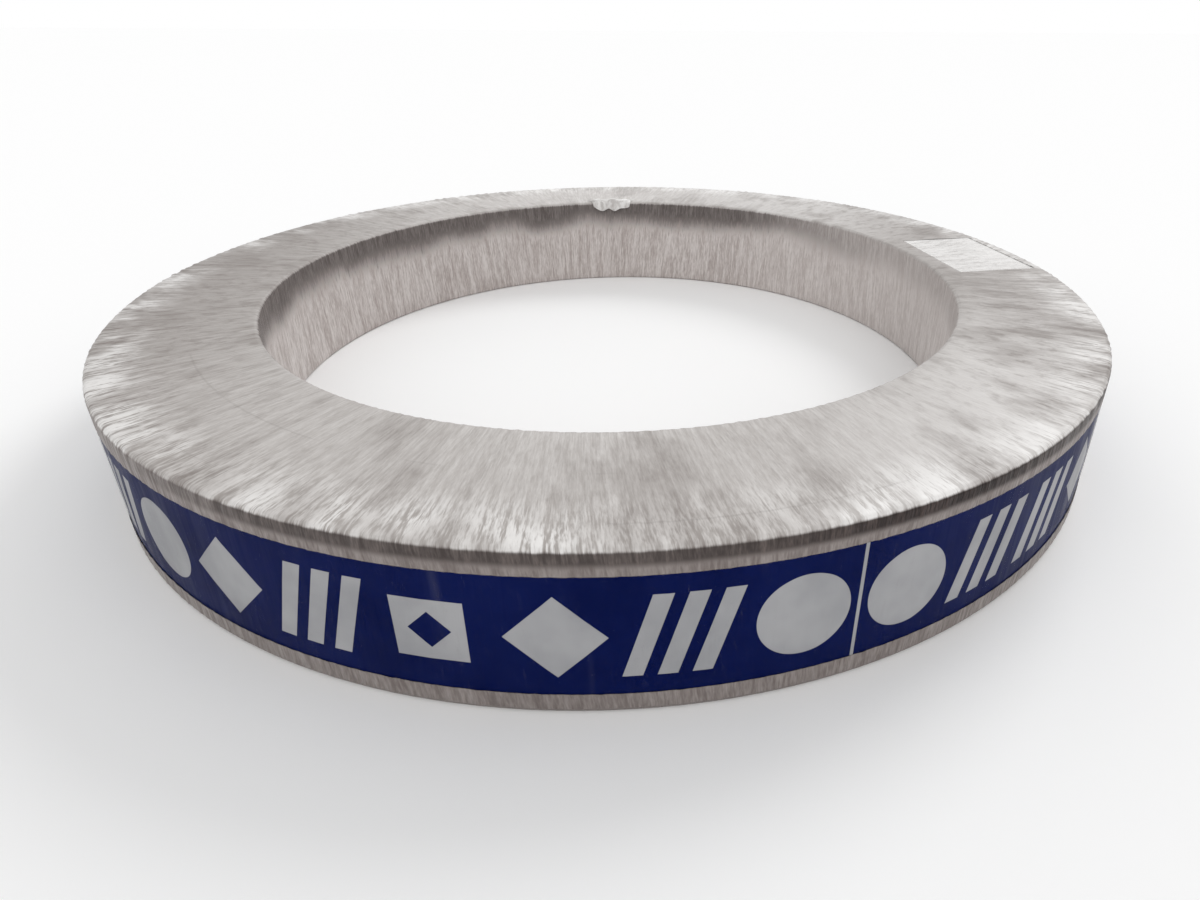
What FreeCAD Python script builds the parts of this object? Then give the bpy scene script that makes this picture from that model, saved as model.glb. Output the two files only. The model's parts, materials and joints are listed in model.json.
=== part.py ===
"""Coil of steel strapping: strap, printed band and paper label inside a stretch film wrap.

The coil lies flat with its axis along +Z. The origin is the centre of its base, where the
film rests on the floor. Millimetres throughout.
"""
import FreeCAD, Part
import math
import os

# ---- strap coil -------------------------------------------------------------------
STRAP_BORE = 406.4           # a 16 inch winding mandrel
STRAP_OUTER = 547.6          # diameter over the last turn of strap
COIL_WIDTH = 67.0            # from one end of the winding to the other, along the axis
STRAP_THICKNESS = 0.5        # one turn adds this much to the radius
TURNS_PER_RIDGE = 6          # neighbouring turns that stand level form one ridge on an end
RIDGE_HEIGHT = 0.25          # how far a ridge stands above the groove beside it
COIL_EDGE_RADIUS = 1.5       # the winding's corners, where the outer turns sit back

# ---- things that lie between the strap and the film ---------------------------------
BAND_THICKNESS = 0.3         # all turns of the printed tape together
BAND_LOWER_STRIP = 7.8       # bare wall from the winding's lower end to the tape
BAND_UPPER_STRIP = 9.2       # bare wall from the tape to the winding's upper end
LABEL_LENGTH = 79.0          # paper label, along the circumference
LABEL_THICKNESS = 0.2
LABEL_ANGLE = 7.0            # degrees from +X round to the label's middle
LABEL_OUTER_MARGIN = 2.3     # winding's outer rounded edge to the label's outer corners
LABEL_INNER_MARGIN = 8.8     # winding's inner rounded edge to the label's inner side

# ---- film and fits -----------------------------------------------------------------
FILM_THICKNESS = 0.4         # all layers of film together
LAYER_CLEARANCE = 0.25       # between any two pieces that lie on each other

# ---- places worked out from the sizes above ------------------------------------------
strap_inner_r = STRAP_BORE / 2
strap_outer_r = STRAP_OUTER / 2
coil_base_z = FILM_THICKNESS + LAYER_CLEARANCE
coil_top_z = coil_base_z + COIL_WIDTH
band_inner_r = strap_outer_r + LAYER_CLEARANCE
band_outer_r = band_inner_r + BAND_THICKNESS
band_base_z = coil_base_z + BAND_LOWER_STRIP
band_width = COIL_WIDTH - BAND_LOWER_STRIP - BAND_UPPER_STRIP
label_base_z = coil_top_z + LAYER_CLEARANCE
label_top_z = label_base_z + LABEL_THICKNESS
space_inner_r = strap_inner_r - LAYER_CLEARANCE      # the room inside the film
space_outer_r = band_outer_r + LAYER_CLEARANCE
space_top_z = label_top_z + LAYER_CLEARANCE
space_edge_radius = COIL_EDGE_RADIUS + LAYER_CLEARANCE
film_edge_radius = space_edge_radius + FILM_THICKNESS

Z_AXIS = FreeCAD.Vector(0, 0, 1)
ORIGIN = FreeCAD.Vector(0, 0, 0)


def point(radius, height):
    """A point of a section in the XZ plane."""
    return FreeCAD.Vector(radius, 0, height)


def corner_arc(centre_r, centre_z, radius, start_degrees):
    """A quarter circle of a section, anticlockwise from start_degrees."""
    places = []
    for turn in (0, 45, 90):
        angle = math.radians(start_degrees + turn)
        places.append(point(centre_r + radius * math.cos(angle), centre_z + radius * math.sin(angle)))
    return Part.Arc(*places).toShape()


def turned(edges):
    """The solid swept by a closed section in one full turn about the axis."""
    face = Part.Face(Part.Wire(edges))
    return face.revolve(ORIGIN, Z_AXIS, 360)


def polyline(points):
    """Straight edges from each point to the next."""
    return [Part.makeLine(first, second) for first, second in zip(points, points[1:])]


def rounded_ring(inner_r, outer_r, base_z, top_z, radius):
    """A turned ring with a rectangular section whose four corners are rounded."""
    edges = [
        Part.makeLine(point(inner_r + radius, base_z), point(outer_r - radius, base_z)),
        corner_arc(outer_r - radius, base_z + radius, radius, 270),
        Part.makeLine(point(outer_r, base_z + radius), point(outer_r, top_z - radius)),
        corner_arc(outer_r - radius, top_z - radius, radius, 0),
        Part.makeLine(point(outer_r - radius, top_z), point(inner_r + radius, top_z)),
        corner_arc(inner_r + radius, top_z - radius, radius, 90),
        Part.makeLine(point(inner_r, top_z - radius), point(inner_r, base_z + radius)),
        corner_arc(inner_r + radius, base_z + radius, radius, 180),
    ]
    return turned(edges)


def end_relief(end_z, inwards):
    """Section points of one end of the winding, from the bore outwards.

    The flat of the end is split into an odd number of equal steps that lie in turn at the
    end's full height and one ridge height below it, so the turns show as rings.
    """
    start_r = strap_inner_r + COIL_EDGE_RADIUS
    span = strap_outer_r - strap_inner_r - 2 * COIL_EDGE_RADIUS
    pairs = round(span / (2 * STRAP_THICKNESS * TURNS_PER_RIDGE))
    steps = 2 * pairs + 1
    points = []
    for step in range(steps):
        height = end_z + inwards * RIDGE_HEIGHT * (step % 2)
        points.append(point(start_r + span * step / steps, height))
        points.append(point(start_r + span * (step + 1) / steps, height))
    return points


def make_strap_coil():
    """The whole winding as one turned solid with its bore, ridged on both ends."""
    radius = COIL_EDGE_RADIUS
    base = end_relief(coil_base_z, 1)
    top = end_relief(coil_top_z, -1)
    top.reverse()
    edges = polyline(base)
    edges.append(corner_arc(strap_outer_r - radius, coil_base_z + radius, radius, 270))
    edges += polyline([point(strap_outer_r, coil_base_z + radius), point(strap_outer_r, coil_top_z - radius)])
    edges.append(corner_arc(strap_outer_r - radius, coil_top_z - radius, radius, 0))
    edges += polyline(top)
    edges.append(corner_arc(strap_inner_r + radius, coil_top_z - radius, radius, 90))
    edges += polyline([point(strap_inner_r, coil_top_z - radius), point(strap_inner_r, coil_base_z + radius)])
    edges.append(corner_arc(strap_inner_r + radius, coil_base_z + radius, radius, 180))
    return turned(edges)


def make_label_band():
    """The printed tape: a thin ring round the outer wall, under the film."""
    foot = FreeCAD.Vector(0, 0, band_base_z)
    outside = Part.makeCylinder(band_outer_r, band_width, foot)
    inside = Part.makeCylinder(band_inner_r, band_width, foot)
    return outside.cut(inside)


def make_paper_label():
    """A flat label on the top end that spans its flat, between the two rounded edges."""
    corner_r = strap_outer_r - COIL_EDGE_RADIUS - LABEL_OUTER_MARGIN
    outer_x = math.sqrt(corner_r ** 2 - (LABEL_LENGTH / 2) ** 2)
    inner_x = strap_inner_r + COIL_EDGE_RADIUS + LABEL_INNER_MARGIN
    foot = FreeCAD.Vector(inner_x, -LABEL_LENGTH / 2, label_base_z)
    label = Part.makeBox(outer_x - inner_x, LABEL_LENGTH, LABEL_THICKNESS, foot)
    label.rotate(ORIGIN, Z_AXIS, LABEL_ANGLE)
    return label


def make_stretch_film():
    """The wrap: a closed skin that goes through the bore and round the whole section."""
    skin = rounded_ring(
        space_inner_r - FILM_THICKNESS,
        space_outer_r + FILM_THICKNESS,
        0.0,
        space_top_z + FILM_THICKNESS,
        film_edge_radius,
    )
    room = rounded_ring(
        space_inner_r,
        space_outer_r,
        FILM_THICKNESS,
        space_top_z,
        space_edge_radius,
    )
    return skin.cut(room)


pieces = {
    "strap_coil": make_strap_coil(),
    "label_band": make_label_band(),
    "paper_label": make_paper_label(),
    "stretch_film": make_stretch_film(),
}

os.makedirs("parts", exist_ok=True)
for name, shape in pieces.items():
    shape.exportStep(f"parts/{name}.step")
    box = shape.BoundBox
    print(
        f"{name}: {len(shape.Solids)} solid, valid {shape.isValid()}, {shape.Volume / 1000:.2f} cm3,",
        f"x {box.XMin:.2f} to {box.XMax:.2f}, z {box.ZMin:.2f} to {box.ZMax:.2f}",
    )
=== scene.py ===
# %% [markdown]
# # A coil of steel strapping in its stretch film
#
# The object is a flat ring: one long steel strap wound on to itself, a printed tape round its
# wall, a paper label on its top end, and many layers of stretch film that go through the bore
# and round the whole section. The CAD model gives the pieces and their places. This script
# gives them their surfaces, and replaces the plain film with a wrinkled one.

# %% Load the frame
import math

import bpy
import numpy as np
from mathutils import Matrix, Vector
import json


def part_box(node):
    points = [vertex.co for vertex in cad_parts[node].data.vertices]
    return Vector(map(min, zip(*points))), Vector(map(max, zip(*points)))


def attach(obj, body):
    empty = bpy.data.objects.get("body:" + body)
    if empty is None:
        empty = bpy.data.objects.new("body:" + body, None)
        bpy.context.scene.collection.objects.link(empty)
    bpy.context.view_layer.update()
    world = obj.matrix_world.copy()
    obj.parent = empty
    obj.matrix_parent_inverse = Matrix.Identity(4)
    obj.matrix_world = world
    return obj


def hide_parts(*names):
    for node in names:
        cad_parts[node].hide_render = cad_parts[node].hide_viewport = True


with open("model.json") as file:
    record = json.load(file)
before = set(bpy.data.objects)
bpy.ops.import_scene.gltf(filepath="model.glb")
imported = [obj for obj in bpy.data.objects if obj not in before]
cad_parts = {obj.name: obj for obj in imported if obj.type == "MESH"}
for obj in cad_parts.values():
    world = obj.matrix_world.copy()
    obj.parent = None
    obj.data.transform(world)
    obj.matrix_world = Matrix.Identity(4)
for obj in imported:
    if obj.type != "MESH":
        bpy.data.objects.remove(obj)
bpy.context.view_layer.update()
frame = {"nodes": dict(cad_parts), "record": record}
nodes = frame["nodes"]

# %% Read the sizes that the surfaces follow
film_low, film_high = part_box("stretch_film")
band_low, band_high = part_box("label_band")
coil_low, coil_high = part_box("strap_coil")
label_low, label_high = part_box("paper_label")
bore = next(m for m in frame["record"]["mounts"] if m["name"] == "bore")

EDGE_R = (film_high[2] - bore["dims"]["length_mm"] / 1000) / 2
HUG = 0.00045
OUTER_R = (film_high[0] - film_low[0]) / 2 - HUG
BORE_R = bore["dims"]["r_mm"] / 1000
TOP_Z = film_high[2] - HUG
BAND_R = (band_high[0] - band_low[0]) / 2
BAND_BASE = band_low[2]
BAND_TOP = band_high[2]
FILM_THICKNESS = 0.00008
print(f"film {OUTER_R:.4f} to {BORE_R:.4f}, height {TOP_Z:.4f}, edge {EDGE_R:.4f}")

# %% [markdown]
# ## Wrinkles as filtered noise
#
# Stretch film that is pulled through a bore gathers into fine ridges that run across the ring:
# along the radius on the ends, and upright on the walls. They could be sculpted or drawn with a
# texture. Here they are a height field on a grid of (angle, way round the section), because
# both directions close on themselves and noise from a Fourier transform closes the same way, so
# there is no seam.

# %% A periodic noise field
COLUMNS = 1152
ROWS = 42
rng = np.random.default_rng(16)
wave_around = np.fft.fftfreq(COLUMNS, 1 / COLUMNS)[:, None]
wave_along = np.fft.fftfreq(ROWS, 1 / ROWS)[None, :]


def closed_noise(around_low, around_high, along_high, slant=0.0):
    """White noise kept only where its waves per turn lie between two limits and its waves per
    way round the section stay under a third. Slant moves a ridge sideways as it goes along.
    The result is scaled to a spread of 1."""
    white = np.fft.fft2(rng.standard_normal((COLUMNS, ROWS)))
    leaning = wave_along - slant * wave_around
    around = np.abs(wave_around)
    keep = np.exp(-((leaning / along_high) ** 2))
    keep = keep * (1 - np.exp(-((around / around_low) ** 4))) * np.exp(-((around / around_high) ** 4))
    field = np.real(np.fft.ifft2(white * keep))
    return field / field.std()


ridges = closed_noise(140, 380, 2.2)
fine_ridges = closed_noise(260, 520, 4.0)
sway = closed_noise(2, 26, 2.0)
print("noise", ridges.shape, float(ridges.min()), float(ridges.max()))

# %% [markdown]
# ## The section of the wrap
#
# The section is a rectangle with rounded corners. It is written as a point that walks round the
# outline at given distances, so that rows can be packed closer at the corners, where the film
# bends, than on the flats.

# %% Walk round the rounded rectangle
WALL = TOP_Z - 2 * EDGE_R
FLAT = OUTER_R - BORE_R - 2 * EDGE_R
CORNER = EDGE_R * math.pi / 2
OUTLINE = 2 * (WALL + FLAT) + 4 * CORNER


def section_point(way):
    """Radius, height and outward normal after walking a way round the outline. It starts at the
    foot of the outer wall, climbs, crosses the top to the bore, goes down and comes back under."""
    sides = [WALL, CORNER, FLAT, CORNER, WALL, CORNER, FLAT, CORNER]
    starts = np.concatenate([[0.0], np.cumsum(sides)[:-1]])
    side = np.clip(np.searchsorted(starts, way, side="right") - 1, 0, 7)
    along = way - starts[side]
    is_corner = side % 2 == 1
    quarter = side // 2
    turn = quarter * math.pi / 2 + np.where(is_corner, along / EDGE_R, 0.0)
    normal = np.stack([np.cos(turn), np.sin(turn)], axis=-1)
    centre_r = np.array([OUTER_R, BORE_R, BORE_R, OUTER_R]) + EDGE_R * np.array([-1, 1, 1, -1])
    centre_z = np.array([TOP_Z, TOP_Z, 0.0, 0.0]) + EDGE_R * np.array([-1, -1, 1, 1])
    corner = np.where(is_corner, quarter, (quarter + 3) % 4)
    run = np.where(is_corner, 0.0, along)
    heading = np.stack([-np.sin(quarter * math.pi / 2), np.cos(quarter * math.pi / 2)], axis=-1)
    place_r = centre_r[corner] + EDGE_R * normal[..., 0] + run * heading[..., 0]
    place_z = centre_z[corner] + EDGE_R * normal[..., 1] + run * heading[..., 1]
    return place_r, place_z, normal


def row_ways():
    """Distances along the outline: a few rows on each side and three on each corner."""
    counts = [9, 3, 10, 3, 9, 2, 4, 2]
    sides = [WALL, CORNER, FLAT, CORNER, WALL, CORNER, FLAT, CORNER]
    starts = np.concatenate([[0.0], np.cumsum(sides)[:-1]])
    return np.concatenate([s + np.arange(n) * side / n for s, n, side in zip(starts, counts, sides)])


ways = row_ways()
profile_r, profile_z, profile_normal = section_point(ways)
print("rows", len(ways), "outline", round(OUTLINE, 4))

# %% Push the grid out by the wrinkles
theta = np.arange(COLUMNS) * 2 * math.pi / COLUMNS
GRID_THETA = theta[:, None]


def smooth_step(low, high, value):
    """0 below low, 1 above high, and a smooth S between them."""
    share = np.clip((value - low) / (high - low), 0, 1)
    return share * share * (3 - 2 * share)


def wrinkle_height():
    """Ridges everywhere, taller towards the outer edge of the top, where the film is slack, and
    flat underneath, where the weight presses it."""
    on_top = smooth_step(TOP_Z - EDGE_R, TOP_Z, profile_z)[None, :]
    outward = smooth_step(BORE_R, OUTER_R, profile_r)[None, :]
    lifted = smooth_step(0.0, EDGE_R, profile_z)[None, :]
    patch = smooth_step(-0.6, 1.4, sway)
    tall = 0.00006 + on_top * (0.00002 + 0.00011 * outward ** 2 * patch)
    rough = np.clip(ridges + 0.45 * fine_ridges, -1.2, 2.8) + 1.2
    return tall * rough * lifted


height = wrinkle_height()
print("wrinkles up to mm", round(float(height.max()) * 1000, 2))


# %% Build the film mesh
def closed_grid_faces(columns, rows):
    """Quads of a grid that closes both ways, as index arrays."""
    column = np.arange(columns)[:, None]
    row = np.arange(rows)[None, :]
    here = column * rows + row
    beside = ((column + 1) % columns) * rows + row
    above = column * rows + (row + 1) % rows
    across = ((column + 1) % columns) * rows + (row + 1) % rows
    return np.stack([here, beside, across, above], axis=-1).reshape(-1, 4)


def mesh_from_arrays(name, points, quads):
    """A mesh object from an array of points and one of quads, shaded smooth."""
    mesh = bpy.data.meshes.new(name)
    mesh.vertices.add(len(points))
    mesh.vertices.foreach_set("co", points.astype(np.float32).ravel())
    mesh.loops.add(quads.size)
    mesh.loops.foreach_set("vertex_index", quads.astype(np.int32).ravel())
    mesh.polygons.add(len(quads))
    mesh.polygons.foreach_set("loop_start", np.arange(0, quads.size, 4, dtype=np.int32))
    mesh.update(calc_edges=True)
    mesh.validate()
    mesh.polygons.foreach_set("use_smooth", np.ones(len(mesh.polygons), dtype=bool))
    piece = bpy.data.objects.new(name, mesh)
    bpy.context.scene.collection.objects.link(piece)
    return piece


film_r = profile_r[None, :] + height * profile_normal[None, :, 0]
film_z = profile_z[None, :] + height * profile_normal[None, :, 1]
film_points = np.stack([film_r * np.cos(GRID_THETA), film_r * np.sin(GRID_THETA), film_z], axis=-1)
film = mesh_from_arrays("stretch_film_wrap", film_points.reshape(-1, 3), closed_grid_faces(COLUMNS, len(ways)))

# the wrap coordinate: a circle of the ring's size, and the way round the section
lean = 0.09 * np.sin(3 * GRID_THETA + 0.8) + 0.05 * np.sin(7 * GRID_THETA)
lean_way = ways[None, :] - WALL - CORNER
leaning_theta = GRID_THETA + lean * lean_way / OUTER_R * np.ones((1, len(ways)))
wrap = np.stack(
    [
        OUTER_R * np.cos(leaning_theta),
        OUTER_R * np.sin(leaning_theta),
        np.broadcast_to(ways[None, :], leaning_theta.shape),
    ],
    axis=-1,
)
attribute = film.data.attributes.new("wrap", "FLOAT_VECTOR", "POINT")
attribute.data.foreach_set("vector", wrap.astype(np.float32).ravel())
print("film faces", len(film.data.polygons))

# %% [markdown]
# ## The wall of the film, and its loose tail
#
# One closed surface has no thickness of its own, so Solidify gives the film its real one,
# inwards, where the winding leaves room. The end of the film is tucked over the inner edge at the
# rear, as a small crumpled flap. A cloth simulation would be a lot of work for something so
# small, so the flap is a patch of the same section with a lumpy height.

# %% Give the film its thickness
skin = film.modifiers.new("film thickness", "SOLIDIFY")
skin.thickness = FILM_THICKNESS
skin.offset = -1.0
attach(film, "root")
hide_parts("stretch_film")


# %% Build the tail
def open_grid_faces(columns, rows):
    """Quads of a grid with open borders, as index arrays."""
    here = (np.arange(columns - 1)[:, None] * rows + np.arange(rows - 1)[None, :]).reshape(-1)
    return np.stack([here, here + rows, here + rows + 1, here + 1], axis=-1)


TAIL_COLUMNS = 72
TAIL_ROWS = 40
TAIL_ANGLE = math.radians(91)
TAIL_WIDTH = 0.037
TAIL_ON_TOP = 0.007
TAIL_DOWN = 0.0045
TAIL_LIFT = 0.0026


def tail_points():
    """The tail follows the section over the inner edge. Its height over the film is a dome that
    fades at the borders, times folds that run down over the edge, and its lower border is
    scalloped by the same folds."""
    across = np.linspace(-1, 1, TAIL_COLUMNS)[:, None]
    down = np.linspace(0, 1, TAIL_ROWS)[None, :]
    folds = 0.5 + 0.5 * np.cos(across * 6.5 + 1.1 * np.sin(across * 3.0) + down * 1.6)
    scallop = 0.88 + 0.12 * folds - 0.16 * across ** 4
    start = WALL + CORNER + FLAT - TAIL_ON_TOP
    reach = (TAIL_ON_TOP + CORNER + TAIL_DOWN) * scallop
    place_r, place_z, normal = section_point(start + reach * down)
    narrowing = 1 - 0.16 * down
    angle = TAIL_ANGLE + across * narrowing * TAIL_WIDTH / 2 / BORE_R
    dome = (1 - across ** 6) * smooth_step(0.0, 0.35, down)
    lift = 0.0004 + TAIL_LIFT * dome * (0.45 + 0.55 * folds)
    radius = place_r + lift * normal[..., 0]
    return np.stack([radius * np.cos(angle), radius * np.sin(angle), place_z + lift * normal[..., 1]], axis=-1)


tail = mesh_from_arrays("film_tail", tail_points().reshape(-1, 3), open_grid_faces(TAIL_COLUMNS, TAIL_ROWS))
tail_skin = tail.modifiers.new("tail thickness", "SOLIDIFY")
tail_skin.thickness = FILM_THICKNESS
tail_skin.offset = 0.0
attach(tail, "root")
print("tail faces", len(tail.data.polygons))

# %% [markdown]
# ## Wiring helpers
#
# Every finish below is a node tree. A few short helpers keep each one readable: one adds a node,
# and the others do sums, blends and noises, and return the socket to plug in next.


# %% The grain that every finish uses
def drawn_grain_group():
    """A node group: noise at a vector whose three parts are first multiplied by the stretch, so
    that a small number draws the pattern out along that axis."""
    group = bpy.data.node_groups.new("drawn_grain", "ShaderNodeTree")
    vectors = ("Vector", "Stretch")
    numbers = ("Scale", "Detail", "Roughness")
    for name in vectors:
        group.interface.new_socket(name, in_out="INPUT", socket_type="NodeSocketVector")
    for name in numbers:
        group.interface.new_socket(name, in_out="INPUT", socket_type="NodeSocketFloat")
    group.interface.new_socket("Grain", in_out="OUTPUT", socket_type="NodeSocketFloat")
    entry = group.nodes.new("NodeGroupInput")
    leave = group.nodes.new("NodeGroupOutput")
    drawn = group.nodes.new("ShaderNodeVectorMath")
    drawn.operation = "MULTIPLY"
    noise = group.nodes.new("ShaderNodeTexNoise")
    group.links.new(entry.outputs["Vector"], drawn.inputs[0])
    group.links.new(entry.outputs["Stretch"], drawn.inputs[1])
    group.links.new(drawn.outputs[0], noise.inputs["Vector"])
    for name in numbers:
        group.links.new(entry.outputs[name], noise.inputs[name])
    group.links.new(noise.outputs["Fac"], leave.inputs["Grain"])
    return group


DRAWN_GRAIN = drawn_grain_group()
print("grain group", [item.name for item in DRAWN_GRAIN.interface.items_tree])


# %% Node helpers
class Wiring:
    """A material's node tree, with short calls that return output sockets."""

    def __init__(self, name):
        self.material = bpy.data.materials.new(name)
        self.material.use_nodes = True
        self.tree = self.material.node_tree
        self.surface = self.tree.nodes["Principled BSDF"]

    def put(self, socket, value):
        """Links a socket to another, or sets its constant."""
        if isinstance(value, bpy.types.NodeSocket):
            self.tree.links.new(value, socket)
        else:
            socket.default_value = value

    def add(self, kind, **settings):
        node = self.tree.nodes.new(kind)
        for key, value in settings.items():
            setattr(node, key, value)
        return node

    def sum(self, operation, first, second=0.0, third=0.0):
        node = self.add("ShaderNodeMath", operation=operation)
        for socket, value in zip(node.inputs, (first, second, third)):
            self.put(socket, value)
        return node.outputs[0]

    def step(self, value, low, high, to_low=0.0, to_high=1.0):
        """A smooth rise from to_low at low to to_high at high."""
        node = self.add("ShaderNodeMapRange", interpolation_type="SMOOTHSTEP")
        names = ("Value", "From Min", "From Max", "To Min", "To Max")
        for key, setting in zip(names, (value, low, high, to_low, to_high)):
            self.put(node.inputs[key], setting)
        return node.outputs[0]

    def blend(self, share, first, second):
        """A colour blend: first at share 0, second at share 1."""
        node = self.add("ShaderNodeMix", data_type="RGBA")
        self.put(node.inputs[0], share)
        self.put(node.inputs[6], first)
        self.put(node.inputs[7], second)
        return node.outputs[2]

    def noise(self, vector, scale, stretch=(1, 1, 1), detail=2.0, rough=0.5):
        """The drawn-out grain, placed in this material with its own values."""
        node = self.add("ShaderNodeGroup", node_tree=DRAWN_GRAIN)
        self.put(node.inputs["Vector"], vector)
        node.inputs["Stretch"].default_value = stretch
        node.inputs["Scale"].default_value = scale
        node.inputs["Detail"].default_value = detail
        node.inputs["Roughness"].default_value = rough
        return node.outputs["Grain"]

    def place(self):
        """Object coordinates as x, y, z sockets, and the vector itself."""
        spot = self.add("ShaderNodeTexCoord").outputs["Object"]
        parts = self.add("ShaderNodeSeparateXYZ")
        self.put(parts.inputs[0], spot)
        return spot, parts.outputs[0], parts.outputs[1], parts.outputs[2]

    def radius(self, x, y):
        square = self.sum("ADD", self.sum("MULTIPLY", x, x), self.sum("MULTIPLY", y, y))
        return self.sum("SQRT", square)

    def both(self, first, second):
        return self.sum("MULTIPLY", first, second)

    def bump(self, height, strength, distance):
        node = self.add("ShaderNodeBump")
        node.inputs["Strength"].default_value = strength
        node.inputs["Distance"].default_value = distance
        self.put(node.inputs["Height"], height)
        return node.outputs[0]


def colour(red, green, blue):
    return (red, green, blue, 1.0)


# %% [markdown]
# ## Stretch film
#
# Many layers of clear film over steel look like dull silver: the air between the layers scatters
# light in fine streaks that follow the pull. Where the film lies wet on smooth tape or paper it
# stays clear, and where it bridges a gap over bare steel it looks dark. All of this is one
# material whose colour, gloss and alpha follow masks, so that one skin shows every state. The
# colour also carries painted light: painted shade at the left and right of the top, a painted
# highlight on its right quarters, painted glints near its outer edge, and painted light on the
# right of the bore.

# %% Where the label lies
label_corners = np.array([v.co[:] for v in nodes["paper_label"].data.vertices])
label_middle = label_corners.mean(axis=0)
LABEL_TURN = math.atan2(label_middle[1], label_middle[0])
turn_back = np.array([[math.cos(LABEL_TURN), -math.sin(LABEL_TURN)], [math.sin(LABEL_TURN), math.cos(LABEL_TURN)]])
label_flat = label_corners[:, :2] @ turn_back
LABEL_NEAR, LABEL_SIDE = label_flat.min(axis=0)
LABEL_FAR = label_flat[:, 0].max()
print("label", round(math.degrees(LABEL_TURN), 2), LABEL_NEAR, LABEL_FAR, LABEL_SIDE)


# %% The film's material
def label_mask(wiring, x, y, margin):
    """1 over the label and 0 beyond it, from coordinates turned to the label's own sides."""
    turned_x = wiring.sum("ADD", wiring.both(x, math.cos(LABEL_TURN)), wiring.both(y, math.sin(LABEL_TURN)))
    turned_y = wiring.sum("SUBTRACT", wiring.both(y, math.cos(LABEL_TURN)), wiring.both(x, math.sin(LABEL_TURN)))
    near = wiring.step(turned_x, LABEL_NEAR + margin * 0.2, LABEL_NEAR + margin)
    far = wiring.step(turned_x, LABEL_FAR - margin, LABEL_FAR - margin * 0.2, 1.0, 0.0)
    side = wiring.step(wiring.sum("ABSOLUTE", turned_y), -LABEL_SIDE - margin, -LABEL_SIDE - margin * 0.2, 1.0, 0.0)
    return wiring.both(wiring.both(near, far), side)


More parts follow.
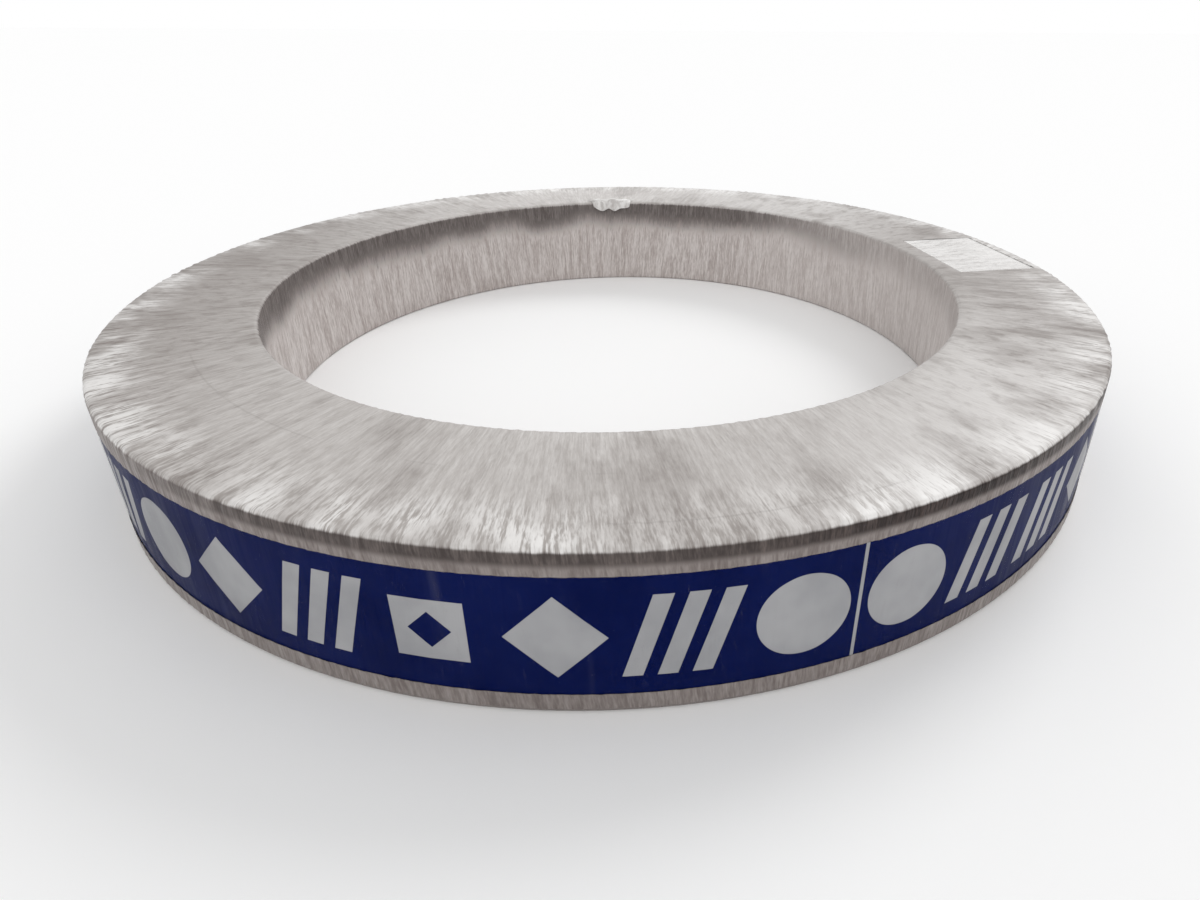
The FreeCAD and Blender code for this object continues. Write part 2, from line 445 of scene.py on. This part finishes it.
def film_material():
    wiring = Wiring("wrinkled_stretch_film")
    way = wiring.add("ShaderNodeAttribute", attribute_name="wrap").outputs["Vector"]
    _, x, y, z = wiring.place()
    r = wiring.radius(x, y)
    broad = wiring.noise(way, 240, (1, 1, 0.10), 2.0)
    streak = wiring.noise(way, 700, (1, 1, 0.12), 3.0, 0.6)
    dash = wiring.noise(way, 1300, (1, 1, 0.18), 2.0, 0.6)
    cloud = wiring.noise(way, 14, (1, 1, 1), 2.0)
    patch = wiring.noise(way, 34, (1, 1, 0.6), 3.0, 0.6)
    grain = wiring.sum("ADD", wiring.both(streak, 0.55), wiring.both(dash, 0.45))
    grain = wiring.sum("ADD", wiring.both(grain, 0.72), wiring.both(broad, 0.28))

    contrast = wiring.step(r, OUTER_R - 0.036, OUTER_R - 0.006, 0.60, 1.50)
    contrast = wiring.both(contrast, wiring.step(wiring.sum("DIVIDE", y, OUTER_R), -0.6, 0.2, 1.0, 0.5))
    lively = wiring.sum("ADD", wiring.both(wiring.sum("SUBTRACT", grain, 0.5), contrast), 0.5)
    silver = wiring.blend(wiring.step(lively, 0.36, 0.66), colour(0.405, 0.377, 0.358), colour(0.625, 0.600, 0.582))
    # A darker copy of the silver. It is used for painted shade at the left and right of the top, and for random
    # darker patches.
    shade_and_patch_silver = wiring.blend(wiring.step(lively, 0.36, 0.66), colour(0.230, 0.202, 0.188), colour(0.390, 0.360, 0.342))
    across = wiring.sum("DIVIDE", x, OUTER_R)
    # Painted shade: the top darkens towards its left and right sides. The patch and mottle noises add random darker
    # patches, and the mottle counts more towards the sides.
    side_shade_and_patches = wiring.sum("ADD", wiring.step(across, -0.98, -0.45, 0.80, 0.0), wiring.step(across, 0.58, 0.84, 0.0, 0.48))
    side_shade_and_patches = wiring.sum("ADD", side_shade_and_patches, wiring.step(patch, 0.48, 0.68, 0.0, 0.58), 0.0)
    # Painted light: the right quarters of the top, front and rear, are blended towards a lighter silver.
    right_painted_light = wiring.both(across, wiring.sum("DIVIDE", wiring.sum("ABSOLUTE", y), OUTER_R))
    right_painted_light = wiring.step(right_painted_light, 0.10, 0.40, 0.0, 0.55)
    mottle = wiring.noise(way, 180, (1, 1, 0.6), 5.0, 0.65)
    side_shade_weight = wiring.step(wiring.sum("ABSOLUTE", across), 0.25, 0.75, 0.16, 0.42)
    silver = wiring.blend(right_painted_light, silver, colour(0.74, 0.72, 0.705))
    side_shade_and_patches = wiring.sum("ADD", side_shade_and_patches, wiring.both(wiring.step(mottle, 0.48, 0.66), side_shade_weight))
    silver = wiring.blend(wiring.sum("MINIMUM", side_shade_and_patches, 1.0), silver, shade_and_patch_silver)
    # Painted glints: near-white streaks near the outer edge of the top, fewer where the patch noise is high.
    painted_glints = wiring.both(wiring.step(lively, 0.37, 0.56), wiring.step(r, OUTER_R - 0.030, OUTER_R - 0.007))
    painted_glints = wiring.both(painted_glints, wiring.step(patch, 0.38, 0.56, 0.85, 0.1))
    silver = wiring.blend(painted_glints, silver, colour(0.84, 0.825, 0.81))
    wall = wiring.blend(wiring.step(grain, 0.38, 0.62), colour(0.385, 0.335, 0.317), colour(0.655, 0.612, 0.592))
    # Painted light: the bore wall is lightened towards the right.
    wall = wiring.blend(wiring.step(across, 0.25, 0.70, 0.0, 0.3), wall, colour(0.740, 0.690, 0.665))
    steel = wiring.blend(wiring.step(grain, 0.42, 0.74), colour(0.012, 0.0060, 0.0050), colour(0.090, 0.062, 0.055))

    torn_z = wiring.sum("ADD", z, wiring.both(wiring.sum("SUBTRACT", grain, 0.5), 0.003))
    on_top = wiring.step(torn_z, TOP_Z - EDGE_R * 0.8, TOP_Z - EDGE_R * 0.2)
    in_bore = wiring.step(r, BORE_R + 0.0012, BORE_R + 0.0024, 1.0, 0.0)
    on_wall = wiring.step(r, OUTER_R - 0.0024, OUTER_R - 0.0012)

    ragged = wiring.sum("ADD", wiring.both(cloud, 0.022), wiring.both(grain, 0.045))
    hem = wiring.sum("SUBTRACT", TOP_Z + 0.0180, ragged)
    bore_dark = wiring.step(wiring.sum("SUBTRACT", z, hem), -0.0090, 0.0060)
    # The dark band also fades towards the right of the bore, which paints light on that side.
    bore_dark = wiring.both(bore_dark, wiring.step(wiring.sum("DIVIDE", x, OUTER_R), 0.35, 0.75, 0.76, 0.20))
    bore_dark = wiring.both(wiring.both(bore_dark, in_bore), wiring.sum("SUBTRACT", 1.0, on_top))

    ragged_foot = wiring.sum("ADD", z, wiring.both(grain, 0.005))
    upper = wiring.step(ragged_foot, BAND_TOP + 0.0048, BAND_TOP + 0.0078)
    slack = wiring.step(wiring.noise(way, 5, (1, 1, 0), 1.0), 0.36, 0.56, 0.7, 1.0)
    pulled = wiring.step(wiring.sum("DIVIDE", x, OUTER_R), -0.75, -0.25, 0.12, 1.0)
    upper = wiring.both(upper, wiring.both(slack, pulled))
    below_rim = wiring.step(z, TOP_Z - EDGE_R * 0.7, TOP_Z - EDGE_R * 0.3, 1.0, 0.0)
    wall_dark = wiring.both(upper, wiring.both(on_wall, below_rim))

    outer = wiring.blend(wiring.step(grain, 0.34, 0.68), colour(0.155, 0.128, 0.120), colour(0.310, 0.276, 0.260))
    tone = wiring.blend(on_wall, wall, outer)
    tone = wiring.blend(on_top, tone, silver)
    tone = wiring.blend(wiring.sum("MAXIMUM", bore_dark, wall_dark), tone, steel)
    ring = wiring.sum("ABSOLUTE", wiring.sum("SUBTRACT", wiring.sum("FLOORED_MODULO", r, 0.0290), 0.0010))
    ring = wiring.step(ring, 0.0002, 0.0007, 1.0, 0.0)
    ring = wiring.both(wiring.both(ring, on_top), wiring.step(cloud, 0.48, 0.62, 0.0, 0.16))
    tone = wiring.blend(ring, tone, colour(0.16, 0.14, 0.13))

    above_foot = wiring.step(z, BAND_BASE + 0.0002, BAND_BASE + 0.0006)
    below_head = wiring.step(z, BAND_TOP - 0.0003, BAND_TOP + 0.0001, 1.0, 0.0)
    over_band = wiring.both(wiring.both(above_foot, below_head), on_wall)
    over_label = wiring.both(label_mask(wiring, x, y, 0.0012), on_top)
    veil = wiring.step(grain, 0.54, 0.76, 0.0, 0.05)
    mist = wiring.step(grain, 0.44, 0.70, 0.02, 0.26)
    opacity = wiring.sum("SUBTRACT", 1.0, wiring.both(over_band, wiring.sum("SUBTRACT", 1.0, veil)))
    opacity = wiring.sum("SUBTRACT", opacity, wiring.both(over_label, wiring.sum("SUBTRACT", 1.0, mist)))

    surface = wiring.surface
    wiring.put(surface.inputs["Base Color"], tone)
    wiring.put(surface.inputs["Alpha"], opacity)
    wiring.put(surface.inputs["Roughness"], wiring.step(streak, 0.35, 0.7, 0.50, 0.30))
    surface.inputs["Specular IOR Level"].default_value = 0.22
    relief = wiring.sum("ADD", wiring.both(broad, 0.8), wiring.sum("ADD", wiring.both(streak, 0.5), wiring.both(dash, 0.2)))
    wiring.put(surface.inputs["Normal"], wiring.bump(relief, 0.55, 0.0009))
    return wiring.material


film.data.materials.append(film_material())
tail_finish = Wiring("crumpled_film_tail")
tail_spot = tail_finish.place()[0]
tail_grain = tail_finish.noise(tail_spot, 240, (1, 1, 0.5), 3.0, 0.6)
tail_tone = tail_finish.blend(tail_finish.step(tail_grain, 0.35, 0.65), colour(0.50, 0.475, 0.46), colour(0.78, 0.765, 0.75))
tail_finish.put(tail_finish.surface.inputs["Base Color"], tail_tone)
tail_finish.put(tail_finish.surface.inputs["Normal"], tail_finish.bump(tail_grain, 0.5, 0.001))
tail_finish.surface.inputs["Roughness"].default_value = 0.3
tail.data.materials.append(tail_finish.material)

# %% [markdown]
# ## The printed tape
#
# The tape is deep blue with bold pale print. The print here is a plain run of shapes: slanted
# bars, diamonds and discs, with a thin upright line where the run starts again. The shapes are
# worked out from the angle round the axis and the height, so they follow the wall exactly and
# stay sharp. A whole number of runs goes round, so the print closes on itself.

# %% The tape's material
RUNS = 3
CELLS = 14
PRINT_HALF = 0.0170
RULE_HALF = 0.0007
BAR_SLANT = 0.30
BAR_PITCH = 0.0116
BAR_HALF = 0.0034
FIRST_RULE = math.radians(-73.3)
RUN_LENGTH = 2 * math.pi * BAND_R / RUNS
CELL = RUN_LENGTH / CELLS


def tape_material():
    wiring = Wiring("printed_blue_tape")
    spot, x, y, z = wiring.place()
    angle = wiring.sum("ARCTAN2", y, x)
    turned = wiring.sum("SUBTRACT", angle, FIRST_RULE)
    length = wiring.both(wiring.sum("FLOORED_MODULO", turned, 2 * math.pi / RUNS), BAND_R)
    cell = wiring.sum("FLOOR", wiring.sum("DIVIDE", length, CELL))
    across = wiring.sum("SUBTRACT", wiring.sum("SUBTRACT", length, wiring.both(cell, CELL)), CELL / 2)
    up = wiring.sum("SUBTRACT", z, (BAND_BASE + BAND_TOP) / 2)
    wide = wiring.sum("ABSOLUTE", across)
    tall = wiring.sum("ABSOLUTE", up)

    def inside(distance):
        """1 where a signed distance is below zero, with an edge a fifth of a millimetre soft."""
        return wiring.step(distance, -0.0001, 0.0001, 1.0, 0.0)

    in_height = inside(wiring.sum("SUBTRACT", tall, PRINT_HALF))
    slanted = wiring.sum("SUBTRACT", across, wiring.both(up, BAR_SLANT))
    in_width = inside(wiring.sum("SUBTRACT", wiring.sum("ABSOLUTE", slanted), 1.5 * BAR_PITCH))
    phase = wiring.sum("SUBTRACT", wiring.sum("FLOORED_MODULO", wiring.sum("ADD", slanted, BAR_PITCH / 2), BAR_PITCH), BAR_PITCH / 2)
    bars = inside(wiring.sum("SUBTRACT", wiring.sum("ABSOLUTE", phase), BAR_HALF))
    bars = wiring.both(bars, wiring.both(in_height, in_width))
    diamond = inside(wiring.sum("SUBTRACT", wiring.sum("ADD", wide, tall), PRINT_HALF))
    disc = inside(wiring.sum("SUBTRACT", wiring.radius(across, up), PRINT_HALF))
    block = wiring.both(inside(wiring.sum("SUBTRACT", wide, 0.0125)), inside(wiring.sum("SUBTRACT", tall, 0.0125)))
    block = wiring.sum("SUBTRACT", block, inside(wiring.sum("SUBTRACT", wiring.sum("ADD", wide, tall), 0.0075)))

    def cells(*numbers):
        """1 in the numbered cells of a run."""
        total = 0.0
        for number in numbers:
            total = wiring.sum("ADD", wiring.sum("COMPARE", cell, float(number), 0.1), total)
        return total

    shapes = wiring.both(bars, cells(1, 2, 5, 6, 9, 12))
    shapes = wiring.sum("ADD", shapes, wiring.both(diamond, cells(3, 8, 11)))
    shapes = wiring.sum("ADD", shapes, wiring.both(disc, cells(0, 7, 13)))
    shapes = wiring.sum("ADD", shapes, wiring.both(block, cells(4, 10)))
    from_rule = wiring.sum("MINIMUM", length, wiring.sum("SUBTRACT", RUN_LENGTH, length))
    rule = inside(wiring.sum("SUBTRACT", from_rule, RULE_HALF))
    print_mask = wiring.sum("MAXIMUM", shapes, rule)

    veil = wiring.noise(spot, 60, (1, 1, 0.06), 3.0, 0.6)
    mottle = wiring.noise(spot, 30, (1, 1, 1), 3.0, 0.6)
    blue = wiring.blend(wiring.step(mottle, 0.3, 0.7), colour(0.0012, 0.0046, 0.050), colour(0.0028, 0.0076, 0.066))
    ink = wiring.blend(wiring.step(mottle, 0.3, 0.7), colour(0.300, 0.303, 0.315), colour(0.380, 0.380, 0.390))
    tone = wiring.blend(print_mask, blue, ink)
    tone = wiring.blend(wiring.step(veil, 0.62, 0.85, 0.0, 0.10), tone, colour(0.42, 0.42, 0.44))
    surface = wiring.surface
    wiring.put(surface.inputs["Base Color"], tone)
    wiring.put(surface.inputs["Roughness"], wiring.step(veil, 0.3, 0.7, 0.30, 0.45))
    surface.inputs["Specular IOR Level"].default_value = 0.03
    ripple = wiring.noise(spot, 300, (1, 1, 0.05), 2.0)
    wiring.put(surface.inputs["Normal"], wiring.bump(ripple, 0.25, 0.0006))
    return wiring.material


def finish_node(name, material):
    """Puts a material on every slot of a CAD node."""
    for place in nodes[name].material_slots:
        place.material = material


finish_node("label_band", tape_material())


# %% [markdown]
# ## Paper label and steel
#
# The label is plain white paper, a little grey and uneven under the film. The steel is dark
# rolled strap: on the ends the edge of every turn shows as a fine ring, so its pattern reads the
# distance from the axis.

# %% The label's and the steel's materials
def paper_material():
    wiring = Wiring("white_label_paper")
    spot, x, y, z = wiring.place()
    fibre = wiring.noise(spot, 700, (1, 1, 1), 4.0, 0.6)
    cloud = wiring.noise(spot, 45, (1, 1, 1), 2.0)
    tone = wiring.blend(wiring.step(fibre, 0.3, 0.7), colour(0.80, 0.785, 0.77), colour(0.88, 0.87, 0.86))
    tone = wiring.blend(wiring.step(cloud, 0.45, 0.75, 0.0, 0.35), tone, colour(0.70, 0.685, 0.67))
    wiring.put(wiring.surface.inputs["Base Color"], tone)
    wiring.put(wiring.surface.inputs["Normal"], wiring.bump(fibre, 0.2, 0.0003))
    wiring.surface.inputs["Roughness"].default_value = 0.6
    return wiring.material


def steel_material():
    wiring = Wiring("rolled_strap_steel")
    spot, x, y, z = wiring.place()
    r = wiring.radius(x, y)
    turns = wiring.sum("FLOORED_MODULO", wiring.both(r, 2000.0), 1.0)
    edge_line = wiring.step(wiring.sum("ABSOLUTE", wiring.sum("SUBTRACT", turns, 0.5)), 0.34, 0.5)
    smear = wiring.noise(spot, 90, (1, 1, 0.3), 4.0, 0.6)
    tone = wiring.blend(wiring.step(smear, 0.3, 0.7), colour(0.09, 0.076, 0.07), colour(0.20, 0.18, 0.17))
    tone = wiring.blend(wiring.both(edge_line, 0.7), tone, colour(0.03, 0.026, 0.024))
    wiring.put(wiring.surface.inputs["Base Color"], tone)
    wiring.put(wiring.surface.inputs["Roughness"], wiring.step(smear, 0.3, 0.7, 0.35, 0.55))
    wiring.surface.inputs["Metallic"].default_value = 0.8
    wiring.put(wiring.surface.inputs["Normal"], wiring.bump(edge_line, 0.3, 0.0003))
    return wiring.material


finish_node("paper_label", paper_material())
finish_node("strap_coil", steel_material())

# %% [markdown]
# ## Floor, light and camera
#
# The part stands on a plain pale floor in even studio light. A broad lamp behind and to the
# right grazes the top end and lights the ridges of the film, as a window would. The world is
# white to the camera and to transmission rays, and dimmer as a light.

# %% The floor
FLOOR_HALF = 40.0
floor_mesh = bpy.data.meshes.new("floor")
floor_corners = [(-1, -1, 0), (1, -1, 0), (1, 1, 0), (-1, 1, 0)]
floor_mesh.from_pydata([(FLOOR_HALF * a, FLOOR_HALF * b, c) for a, b, c in floor_corners], [], [(0, 1, 2, 3)])
floor = bpy.data.objects.new("floor", floor_mesh)
bpy.context.scene.collection.objects.link(floor)
floor_finish = Wiring("pale_floor")
floor_finish.surface.inputs["Base Color"].default_value = colour(0.97, 0.97, 0.97)
floor_finish.surface.inputs["Roughness"].default_value = 0.9
floor_finish.surface.inputs["Specular IOR Level"].default_value = 0.0
floor_mesh.materials.append(floor_finish.material)

# %% The world
world = bpy.data.worlds.new("studio")
bpy.context.scene.world = world
world.use_nodes = True
sky = world.node_tree.nodes["Background"]
sky.inputs["Color"].default_value = colour(1.0, 1.0, 1.0)
rays = world.node_tree.nodes.new("ShaderNodeLightPath")
seen = world.node_tree.nodes.new("ShaderNodeMath")
seen.operation = "MAXIMUM"
world.node_tree.links.new(rays.outputs["Is Camera Ray"], seen.inputs[0])
world.node_tree.links.new(rays.outputs["Is Transmission Ray"], seen.inputs[1])
level = world.node_tree.nodes.new("ShaderNodeMapRange")
level.inputs["To Min"].default_value = 0.70
level.inputs["To Max"].default_value = 1.0
world.node_tree.links.new(seen.outputs[0], level.inputs["Value"])
world.node_tree.links.new(level.outputs[0], sky.inputs["Strength"])


# %% Lamps
def soft_sun(name, azimuth, elevation, spread, strength):
    """A wide sun: even light from one side, the same all over the floor. Azimuth 0 is behind
    the ring, and spread is the angle that the lamp fills in the sky."""
    lamp = bpy.data.lights.new(name, "SUN")
    lamp.angle = math.radians(spread)
    lamp.energy = strength
    holder = bpy.data.objects.new(name, lamp)
    bpy.context.scene.collection.objects.link(holder)
    turn = math.radians(azimuth)
    rise = math.radians(elevation)
    back = Vector((math.sin(turn) * math.cos(rise), math.cos(turn) * math.cos(rise), math.sin(rise)))
    holder.rotation_euler = back.to_track_quat("Z", "Y").to_euler()
    return holder


soft_sun("side_window", 42, 40, 24, 0.85)
soft_sun("rear_window", -2, 20, 24, 0.20)
soft_sun("front_fill", 178, 40, 60, 0.6)

# %% The camera
IMAGE_WIDTH = 1200
IMAGE_HEIGHT = 900
CAMERA_PLACE = Vector((0.0, -0.4485, 0.2073))
CAMERA_YAW = math.radians(4.04)
CAMERA_PITCH = math.radians(26.21)
CAMERA_ROLL = math.radians(0.32)
LENS_MM = 22.02
SHIFT_X = -0.0556
SHIFT_Y = -0.0519

gaze = Vector(
    (
        math.sin(CAMERA_YAW) * math.cos(CAMERA_PITCH),
        math.cos(CAMERA_YAW) * math.cos(CAMERA_PITCH),
        -math.sin(CAMERA_PITCH),
    )
)
level_right = Vector((math.cos(CAMERA_YAW), -math.sin(CAMERA_YAW), 0.0))
level_up = level_right.cross(gaze)
right = math.cos(CAMERA_ROLL) * level_right + math.sin(CAMERA_ROLL) * level_up
up = right.cross(gaze)
camera_data = bpy.data.cameras.new("camera")
camera_data.lens = LENS_MM
camera_data.shift_x = SHIFT_X
camera_data.shift_y = SHIFT_Y
camera_data.clip_start = 0.01
camera = bpy.data.objects.new("camera", camera_data)
bpy.context.scene.collection.objects.link(camera)
facing = Matrix((right, up, -gaze)).transposed().to_4x4()
facing.translation = CAMERA_PLACE
camera.matrix_world = facing
bpy.context.scene.camera = camera
bpy.context.scene.view_settings.view_transform = "Standard"

# %% The end
bpy.context.view_layer.update()
import json
